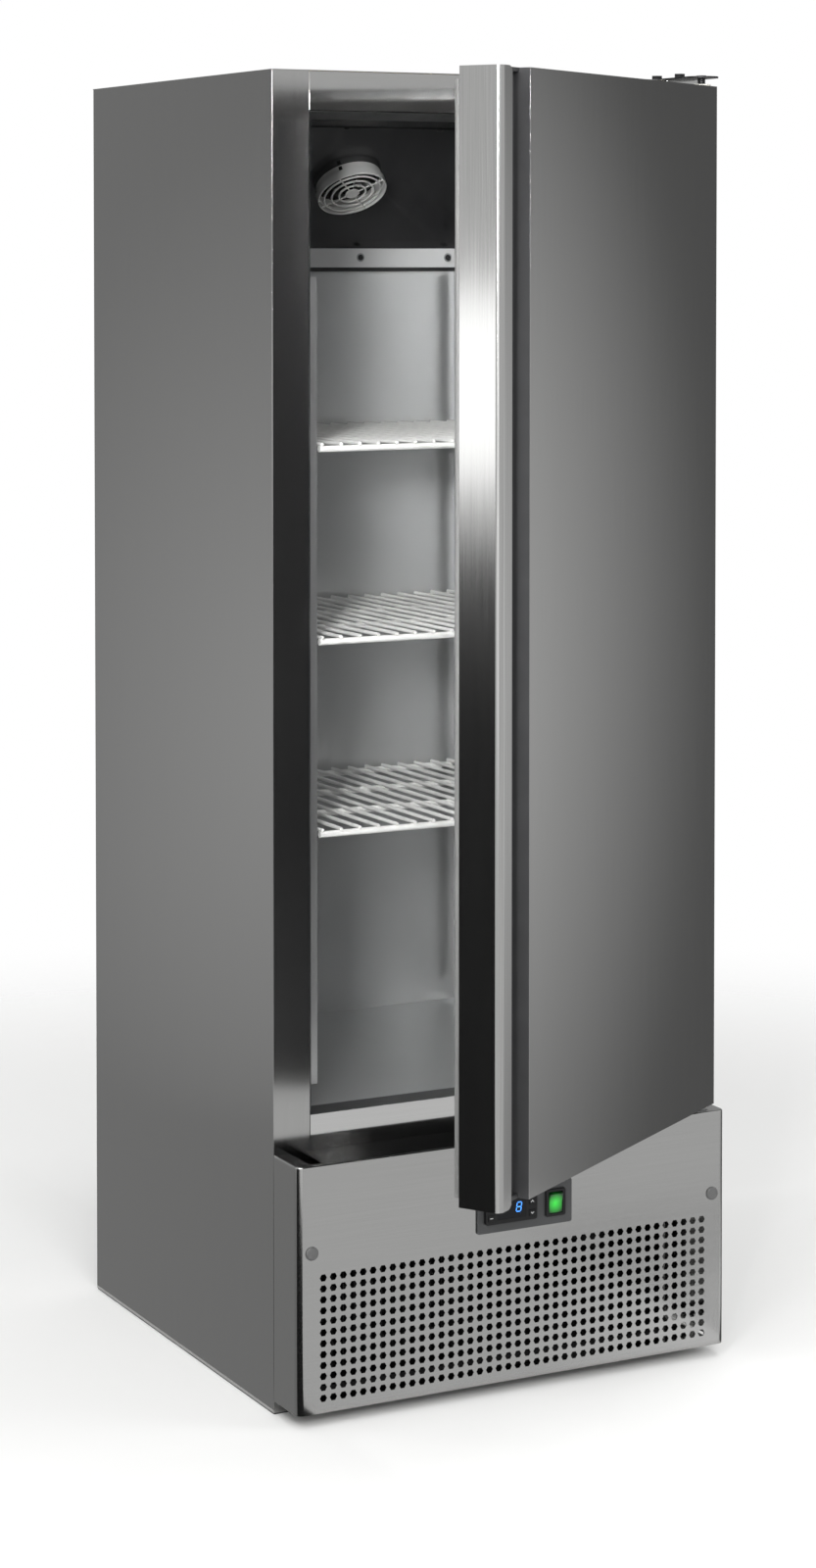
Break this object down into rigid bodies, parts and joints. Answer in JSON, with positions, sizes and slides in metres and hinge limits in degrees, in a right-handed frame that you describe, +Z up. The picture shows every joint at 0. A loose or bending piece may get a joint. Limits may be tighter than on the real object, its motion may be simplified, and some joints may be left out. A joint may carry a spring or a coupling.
{
  "type": "upright storage freezer",
  "caption": "Upright stainless steel storage freezer cabinet with one hinged door, wire shelves, an evaporator under the ceiling and a perforated kick panel with controls.",
  "frame": {"origin": "on the floor, under the middle of the cabinet body", "axes": "+Z up, +Y from the door side to the back, +X to the hinge side; the door rests open"},
  "size_m": [0.62, 0.9525, 1.6785],
  "materials": {
    "stainless": "satin brushed stainless steel sheet",
    "stainless_inner": "smooth stainless steel sheet",
    "galvanised_steel": "galvanised steel sheet",
    "black_cover": "gloss black powder coat",
    "foam": "rigid polyurethane foam",
    "grey_plastic": "extruded grey plastic",
    "shelf_clip_steel": "stamped stainless steel",
    "white_wire": "white plastic coated steel wire",
    "fan_guard_plastic": "moulded light grey plastic",
    "black_plastic": "moulded black plastic",
    "fan_steel": "painted steel",
    "aluminium_fin": "bare aluminium sheet",
    "copper_tube": "drawn copper tube",
    "black_steel": "black enamelled steel",
    "rubber": "soft elastomer",
    "bezel_plastic": "dark grey moulded plastic",
    "display_window": "dark clear display lens",
    "lit_rocker": "translucent green plastic, lit from behind",
    "nylon": "natural nylon",
    "zinc_steel": "zinc plated steel"
  },
  "bodies": {
    "cabinet": {"back_panel": "galvanised_steel", "base_pan": "galvanised_steel", "bottom_hinge_bracket": "zinc_steel", "breaker_strips": "grey_plastic", "cable_gland": "black_plastic", "compressor": "black_steel", "compressor_grommets": "rubber", "condensate_pan": "black_plastic", "condenser_fan_motor": "fan_steel", "condenser_fan_shroud": "galvanised_steel", "condenser_fins": "aluminium_fin", "condenser_tubes": "copper_tube", "control_bezel": "bezel_plastic", "controller_case": "black_plastic", "controller_window": "display_window", "cover_screws": "zinc_steel", "drain_tube": "nylon", "drip_channel": "stainless", "evaporator_cover": "black_cover", "evaporator_fan_guard": "fan_guard_plastic", "evaporator_fan_motor": "fan_steel", "evaporator_fins": "aluminium_fin", "evaporator_tubes": "copper_tube", "filter_drier": "copper_tube", "frame_header": "stainless", "frame_sill": "stainless_inner", "hinge_bolts": "zinc_steel", "hinge_pins": "zinc_steel", "inner_liner": "stainless_inner", "insulation": "foam", "junction_box": "black_plastic", "kick_brackets": "galvanised_steel", "kick_panel": "stainless", "kick_screws": "zinc_steel", "rear_guard": "galvanised_steel", "refrigerant_pipes": "copper_tube", "shelf_clips": "shelf_clip_steel", "shelf_lower": "white_wire", "shelf_middle": "white_wire", "shelf_upper": "white_wire", "shelf_uprights": "stainless_inner", "side_panel_left": "stainless", "side_panel_right": "stainless", "switch_housing": "black_plastic", "top_hinge_bracket": "zinc_steel", "top_panel": "stainless"},
    "door": {"door_skin": "stainless", "door_handle_profile": "stainless", "door_foam": "foam", "door_inner_panel": "stainless_inner", "door_gasket": "rubber", "door_end_caps": "grey_plastic", "door_bushes": "nylon"},
    "evaporator_fan": {"evaporator_fan_blade": "black_plastic"},
    "condenser_fan": {"condenser_fan_blade": "fan_steel"},
    "power_switch": {"switch_rocker": "lit_rocker"},
    "key_defrost": {"key_defrost": "black_plastic"},
    "key_set": {"key_set": "black_plastic"},
    "key_up": {"key_up": "black_plastic"},
    "key_down": {"key_down": "black_plastic"}
  },
  "joints": [
    {"name": "door_hinge", "type": "hinge", "parent": "cabinet", "child": "door", "pos_m": [0.28, -0.3405, 0], "axis": [0, 0, 1], "range_deg": [-32.7, 82.3]},
    {"name": "evaporator_fan_spin", "type": "hinge", "parent": "cabinet", "child": "evaporator_fan", "pos_m": [-0.014, 0.09357, 1.54236], "axis": [0, -0.5703, -0.8214], "continuous": true},
    {"name": "condenser_fan_spin", "type": "hinge", "parent": "cabinet", "child": "condenser_fan", "pos_m": [-0.14, -0.182, 0.153], "axis": [0, 1, 0], "continuous": true},
    {"name": "power_rocker", "type": "hinge", "parent": "cabinet", "child": "power_switch", "pos_m": [0.052, -0.357, 0.238], "axis": [1, 0, 0], "range_deg": [-14, 0]},
    {"name": "defrost_key_press", "type": "slide", "parent": "cabinet", "child": "key_defrost", "axis": [0, 1, 0], "range_m": [0, 0.0008], "stiffness_N_per_m": 1500},
    {"name": "set_key_press", "type": "slide", "parent": "cabinet", "child": "key_set", "axis": [0, 1, 0], "range_m": [0, 0.0008], "stiffness_N_per_m": 1500},
    {"name": "up_key_press", "type": "slide", "parent": "cabinet", "child": "key_up", "axis": [0, 1, 0], "range_m": [0, 0.0008], "stiffness_N_per_m": 1500},
    {"name": "down_key_press", "type": "slide", "parent": "cabinet", "child": "key_down", "axis": [0, 1, 0], "range_m": [0, 0.0008], "stiffness_N_per_m": 1500}
  ]
}
